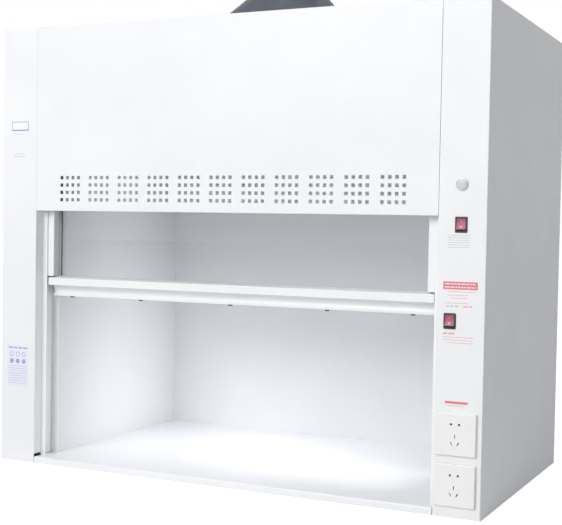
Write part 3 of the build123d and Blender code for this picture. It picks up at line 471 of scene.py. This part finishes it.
def screw_head(heads, seat, direction):
    """One pan head on its seat, with its crown pointing along the direction."""
    before = set(heads.faces)
    spindle = [
        heads.verts.new((radius * screw_head_radius, 0.0, height * screw_head_height))
        for radius, height in crown
    ]
    section = [heads.edges.new(pair) for pair in zip(spindle, spindle[1:])]
    half_step = Matrix.Rotation(-math.pi / screw_segments, 3, "Z")
    bmesh.ops.rotate(heads, verts=spindle, cent=(0, 0, 0), matrix=half_step)
    bmesh.ops.spin(
        heads,
        geom=spindle + section,
        cent=(0, 0, 0),
        axis=(0, 0, 1),
        angle=math.tau,
        steps=screw_segments,
        use_merge=True,
    )
    skin = faces_since(heads, before)
    bmesh.ops.remove_doubles(heads, verts=verts_of(skin), dist=weld_distance)
    cross = [face for face in faces_since(heads, before) if on_cross(face)]
    pushed = bmesh.ops.extrude_face_region(heads, geom=cross)
    recess_floor = [item for item in pushed["geom"] if isinstance(item, bmesh.types.BMVert)]
    bmesh.ops.translate(heads, verts=recess_floor, vec=(0, 0, -recess_depth))
    bmesh.ops.delete(heads, geom=[face for face in cross if face.is_valid], context="FACES_ONLY")
    aim = Vector((0, 0, 1)).rotation_difference(direction).to_matrix().to_4x4()
    head_verts = verts_of(faces_since(heads, before))
    bmesh.ops.transform(heads, matrix=Matrix.Translation(seat) @ aim, verts=head_verts)


def screw_group(name, node_name, seats, direction):
    """All heads of one CAD node, whose shanks stay hidden in the sheets."""
    heads = bmesh.new()
    for seat in seats:
        screw_head(heads, seat, direction)
    piece = keep_piece(heads, name, [zinc_plate], "cabinet")
    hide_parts(node_name)


back_low, back_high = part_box("back_panel_screws")
back_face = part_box("back_panel")[1].y
screw_rows = 5
row_pitch = (back_high.z - back_low.z - 2 * screw_head_radius) / (screw_rows - 1)
back_seats = [
    Vector((x, back_face, back_low.z + screw_head_radius + row * row_pitch))
    for x in (back_low.x + screw_head_radius, back_high.x - screw_head_radius)
    for row in range(screw_rows)
]
screw_group("back_screw_heads", "back_panel_screws", back_seats, Vector((0, 1, 0)))

collar_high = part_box("collar_screws")[1]
collar_reach = collar_high.x - screw_head_radius
collar_seat = collar_high.z - screw_head_height
collar_seats = [
    Vector((x * collar_reach, y * collar_reach, collar_seat))
    for x in (-1, 0, 1)
    for y in (-1, 0, 1)
    if x or y
]
screw_group("collar_screw_heads", "collar_screws", collar_seats, Vector((0, 0, 1)))

# Printed fields on the pillars: screen printed ink and thin film labels, stuck or printed onto the
# paint. They are plain fields, rings, discs and rows of short bars.
pillar_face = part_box("left_side_panel")[0].y
hood_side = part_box("right_side_panel")[1].x
film_thickness = 0.00015
ink_thickness = 0.00008
thin_gain, thin_lift, thin_limit = 1.12, 0.02, 0.9  # how a thin spot of ink lightens
words = random.Random(11)
shortest_word, longest_word = 1.5, 4.5  # in heights of a letter, like the gap
word_gap = 0.8
small_letter = 0.0014


def ink(name, colour, roughness=0.5):
    """Screen ink or film, slightly broken in its cover."""
    finish = new_finish(name, colour, roughness)
    lighter = tuple(min(thin_limit, value * thin_gain + thin_lift) for value in colour)
    vary_colour(finish, surface_noise(finish, scale=900.0, detail=3.0), colour, lighter)
    return finish


red_ink = ink("red_ink", (0.66, 0.17, 0.2))
pale_red_ink = ink("pale_red_ink", (0.72, 0.36, 0.39))
grey_ink = ink("grey_ink", (0.5, 0.54, 0.54))
blue_ink = ink("blue_ink", (0.18, 0.28, 0.5))
violet_ink = ink("violet_ink", (0.36, 0.33, 0.62))
pale_violet_ink = ink("pale_violet_ink", (0.46, 0.44, 0.7))
film_white = ink("film_white", (0.84, 0.84, 0.85), roughness=0.3)
film_violet = ink("film_violet", (0.74, 0.74, 0.86), roughness=0.3)


def colour_shape(made, slot_index):
    """Give a shape that an operator has just made one of the label's finishes."""
    for face in {face for vert in made["verts"] for face in vert.link_faces}:
        face.material_index = slot_index


def block(label, left, right, bottom, top, depth, slot_index=0, rise=0):
    """Flat field of the label between four edges, from rise to rise + depth off the pillar."""
    centre = ((left + right) / 2, pillar_face - rise - depth / 2, (bottom + top) / 2)
    size = Matrix.Diagonal((right - left, depth, top - bottom, 1))
    made = bmesh.ops.create_cube(label, size=1.0, matrix=Matrix.Translation(centre) @ size)
    colour_shape(made, slot_index)


def print_line(label, left, right, z, letter, slot_index=0, rise=0):
    """Row of short bars with gaps, as long as a line of print and as high as its letters."""
    x = left
    while x < right - letter:
        length = min(words.uniform(shortest_word, longest_word) * letter, right - x)
        block(label, x, x + length, z - letter / 2, z + letter / 2, ink_thickness, slot_index, rise)
        x += length + word_gap * letter


def disc(label, x, z, radius, slot_index, rise):
    """Round field of ink."""
    centre = Matrix.Translation((x, pillar_face - rise - ink_thickness / 2, z))
    made = bmesh.ops.create_cone(
        label,
        cap_ends=True,
        segments=round_steps,
        radius1=radius,
        radius2=radius,
        depth=ink_thickness,
        matrix=centre @ Matrix.Rotation(math.pi / 2, 4, "X"),
    )
    colour_shape(made, slot_index)


def keep_label(label, name, finishes):
    """Fix a label to the cabinet."""
    keep_piece(label, name, finishes, "cabinet")


# Right pillar: grey print under the light switch, a red field with print above and below the fan
# switch, and a narrow red field over the sockets. Left and right are counted from the hood's side.
light_rows, light_row_top, light_row_pitch = 6, 0.5675, 0.0048
switch_print = bmesh.new()
for row in range(light_rows):
    row_height = light_row_top - light_row_pitch * row
    print_line(switch_print, hood_side - 0.079, hood_side - 0.033, row_height, small_letter)
keep_label(switch_print, "light_switch_print", [grey_ink])

red, pale_red, white, grey = range(4)  # the finish's place in the list that keep_label gets
fan_lines = (
    # height, left end, right end, letter height, finish, rise off the pillar
    (0.4705, 0.083, 0.019, 0.0022, white, ink_thickness),
    (0.464, 0.083, 0.019, 0.0022, white, ink_thickness),
    (0.4551, 0.0753, 0.0204, small_letter, pale_red, 0),
    (0.4478, 0.0753, 0.0361, small_letter, pale_red, 0),
    (0.4421, 0.0727, 0.0374, small_letter, pale_red, 0),
    (0.4322, 0.0819, 0.0322, small_letter, pale_red, 0),
    (0.3638, 0.0853, 0.0219, small_letter, pale_red, 0),
    (0.358, 0.0853, 0.0232, small_letter, pale_red, 0),
    (0.3526, 0.0766, 0.0219, small_letter, pale_red, 0),
    (0.4257, 0.0793, 0.0544, 0.0032, grey, 0),
    (0.4257, 0.0453, 0.023, 0.0032, pale_red, 0),
    (0.3709, 0.0853, 0.0617, 0.0034, pale_red, 0),
)
fan_print = bmesh.new()
block(fan_print, hood_side - 0.0866, hood_side - 0.0157, 0.4595, 0.475, ink_thickness, red)
for z, left, right, letter, slot_index, rise in fan_lines:
    print_line(fan_print, hood_side - left, hood_side - right, z, letter, slot_index, rise)
keep_label(fan_print, "fan_switch_print", [red_ink, pale_red_ink, film_white, grey_ink])

socket_print = bmesh.new()
block(socket_print, hood_side - 0.078, hood_side - 0.0305, 0.2304, 0.2352, ink_thickness, red)
print_line(socket_print, hood_side - 0.0725, hood_side - 0.037, 0.2265, 0.0013, pale_red)
keep_label(socket_print, "socket_print", [red_ink, pale_red_ink])

# Left pillar: a bare plate with a blue border near the top, three lines of grey print below it,
# and a violet film label lower down with plain rings, discs and bars.
film, strong, faint = range(3)  # the finish's place in the list that keep_label gets
plate_left, plate_right = -hood_side + 0.0256, -hood_side + 0.0745
plate_bottom, plate_top = 0.7965, 0.8185
plate_line = 0.0014
border_bottom, border_top = plate_bottom + 2 * plate_line, plate_top - plate_line
plate_borders = (
    (plate_left, plate_right, border_top, plate_top),
    (plate_left, plate_right, plate_bottom, border_bottom),
    (plate_left, plate_left + plate_line, border_bottom, border_top),
    (plate_right - plate_line, plate_right, border_bottom, border_top),
)
plate_letter = 0.0015
plate_lines = (
    # height, left end, right end
    (0.789, 0.0358, 0.0615),
    (0.7413, 0.0335, 0.0652),
    (0.735, 0.0335, 0.0652),
)
plate = bmesh.new()
block(plate, plate_left, plate_right, plate_bottom, plate_top, film_thickness, film)
for left, right, bottom, top in plate_borders:
    block(plate, left, right, bottom, top, ink_thickness, strong, film_thickness)
for z, left, right in plate_lines:
    print_line(plate, -hood_side + left, -hood_side + right, z, plate_letter, faint)
keep_label(plate, "name_place", [film_white, blue_ink, grey_ink])

label_left, label_right = -hood_side + 0.019, -hood_side + 0.082
label_bottom, label_top = 0.181, 0.28
label_margin = 0.003
title_height, title_letter = 0.2745, 0.0034
ring_height, disc_height = 0.2592, 0.2425
sign_radius, ring_line = 0.0058, 0.0014
sign_columns, sign_start, sign_pitch = 3, 0.0126, 0.0179
label_rows, label_row_top, label_row_pitch = 8, 0.2305, 0.0059
care_label = bmesh.new()
block(care_label, label_left, label_right, label_bottom, label_top, film_thickness, film)
title_left, title_right = label_left + label_margin, label_right - 0.004
print_line(care_label, title_left, title_right, title_height, title_letter, strong, film_thickness)
for column in range(sign_columns):
    x = label_left + sign_start + sign_pitch * column
    ring_place = Matrix.Translation((x, pillar_face - film_thickness - ink_thickness, ring_height))
    flat_ring(care_label, ring_place, sign_radius, ring_line, ink_thickness, strong)
    disc(care_label, x, disc_height, sign_radius, strong, film_thickness)
for row in range(label_rows):
    z = label_row_top - label_row_pitch * row
    print_line(care_label, title_left, label_right - 0.005, z, small_letter, faint, film_thickness)
keep_label(care_label, "violet_label", [film_violet, violet_ink, pale_violet_ink])

# Stage: a white floor that keeps the hood's shadow and meets a white surround without a line. The
# floor glows for the camera and, a little less, in mirror images, where it meets the surround too.
floor_half_side = 30.0
camera_glow = 0.72
mirror_glow = 0.47
floor_finish = new_finish("floor_finish", (0.86, 0.86, 0.865), roughness=0.9)
set_even(floor_finish, {"Specular IOR Level": 0.0, "Emission Color": (1.0, 1.0, 1.0, 1.0)})
floor_tree = floor_finish.node_tree
seen = floor_tree.nodes.new("ShaderNodeLightPath")
lift = floor_tree.nodes.new("ShaderNodeMath")
lift.operation = "MULTIPLY"
lift.inputs[1].default_value = camera_glow
floor_tree.links.new(seen.outputs["Is Camera Ray"], lift.inputs[0])
mirrored = floor_tree.nodes.new("ShaderNodeMath")
mirrored.operation = "MULTIPLY_ADD"
mirrored.inputs[1].default_value = mirror_glow
floor_tree.links.new(seen.outputs["Is Glossy Ray"], mirrored.inputs[0])
floor_tree.links.new(lift.outputs["Value"], mirrored.inputs[2])
glow = floor_tree.nodes["Principled BSDF"].inputs["Emission Strength"]
floor_tree.links.new(mirrored.outputs["Value"], glow)

floor_sheet = bmesh.new()
bmesh.ops.create_grid(floor_sheet, x_segments=1, y_segments=1, size=floor_half_side)
floor = new_piece(floor_sheet, "floor", [floor_finish])

# Surround: white to the camera, in mirror images and through the glass. As a light it is dimmer
# and faintly blue.
shade_strength, seen_strength = 0.35, 1.0
shade_tint = (0.955, 0.97, 1.0, 1.0)
seen_tint = (1.0, 1.0, 1.0, 1.0)
surround = bpy.data.worlds.new("surround")
surround.use_nodes = True
bpy.context.scene.world = surround
sky = surround.node_tree
rays = sky.nodes.new("ShaderNodeLightPath")


def either(one, other):
    """1 where one of two ray flags is 1."""
    larger = sky.nodes.new("ShaderNodeMath")
    larger.operation = "MAXIMUM"
    sky.links.new(one, larger.inputs[0])
    sky.links.new(other, larger.inputs[1])
    return larger.outputs["Value"]


camera_or_mirror = either(rays.outputs["Is Camera Ray"], rays.outputs["Is Glossy Ray"])
seen_rays = either(camera_or_mirror, rays.outputs["Is Transmission Ray"])
strength = sky.nodes.new("ShaderNodeMapRange")
strength.inputs["To Min"].default_value = shade_strength
strength.inputs["To Max"].default_value = seen_strength
sky.links.new(seen_rays, strength.inputs["Value"])
tint = sky.nodes.new("ShaderNodeMix")
tint.data_type = "RGBA"
tint.inputs["A"].default_value = shade_tint
tint.inputs["B"].default_value = seen_tint
sky.links.new(seen_rays, tint.inputs["Factor"])
backdrop = sky.nodes["Background"]
sky.links.new(strength.outputs["Result"], backdrop.inputs["Strength"])
sky.links.new(tint.outputs["Result"], backdrop.inputs["Color"])


# Lights: a large soft box in front and a weak one above the hood, and two small ones inside the
# chamber, for its lamp and for the light that the worktop throws onto the left wall.
def soft_box(name, place, target, size, power):
    """Square soft light that faces its target."""
    lamp = bpy.data.lights.new(name, "AREA")
    lamp.size = size
    lamp.energy = power
    holder = bpy.data.objects.new(name, lamp)
    holder.location = place
    holder.rotation_euler = (Vector(target) - Vector(place)).to_track_quat("-Z", "Y").to_euler()
    holder.visible_camera = False
    bpy.context.scene.collection.objects.link(holder)
    return holder


def inner_box(name, place, target, size, depth, power, spread):
    """Oblong soft light with a narrower beam, spread in degrees, which no mirror image shows."""
    holder = soft_box(name, place, target, size, power)
    holder.visible_glossy = False
    holder.data.shape = "RECTANGLE"
    holder.data.size_y = depth
    holder.data.spread = math.radians(spread)


soft_box("front_box", place=(-1.2, -6.5, 3.4), target=(0.0, 0.0, 0.5), size=3.5, power=292.0)
soft_box("top_box", place=(-0.2, -0.8, 4.0), target=(0.0, 0.0, 0.6), size=3.0, power=22.0)
inner_box(
    "chamber_box",
    place=(-0.06, -0.02, 0.852),
    target=(-0.06, -0.02, 0.0),
    size=0.8,
    depth=0.3,
    power=1.0,
    spread=70,
)
inner_box(
    "wall_box",
    place=(0.47, -0.08, 0.13),
    target=(-0.48, 0.06, 0.11),
    size=0.34,
    depth=0.18,
    power=0.6,
    spread=58,
)

# Camera: eye level a little above the middle of the hood, to its right and looking left. Its
# place, angles in radians and focal length in pixels were fitted to the photograph.
eye = Vector((1.218, -2.533, 0.580))
yaw, pitch, roll = 0.451, -0.032, 0.018
focal_px = 1143.7
photo_width = 562
film_width = 36.0
forward = Vector((-math.sin(yaw) * math.cos(pitch), math.cos(yaw) * math.cos(pitch), math.sin(pitch)))
sideways = Vector((math.cos(yaw), math.sin(yaw), 0.0))
up = sideways.cross(forward)
rolled_sideways = math.cos(roll) * sideways + math.sin(roll) * up
rolled_up = -math.sin(roll) * sideways + math.cos(roll) * up
camera_data = bpy.data.cameras.new("camera")
camera_data.sensor_fit = "HORIZONTAL"
camera_data.sensor_width = film_width
camera_data.lens = focal_px * film_width / photo_width
camera = bpy.data.objects.new("camera", camera_data)
turn = Matrix((rolled_sideways, rolled_up, -forward)).transposed()
camera.matrix_world = Matrix.Translation(eye) @ turn.to_4x4()
bpy.context.scene.collection.objects.link(camera)
bpy.context.scene.camera = camera
bpy.context.scene.view_settings.view_transform = "Standard"
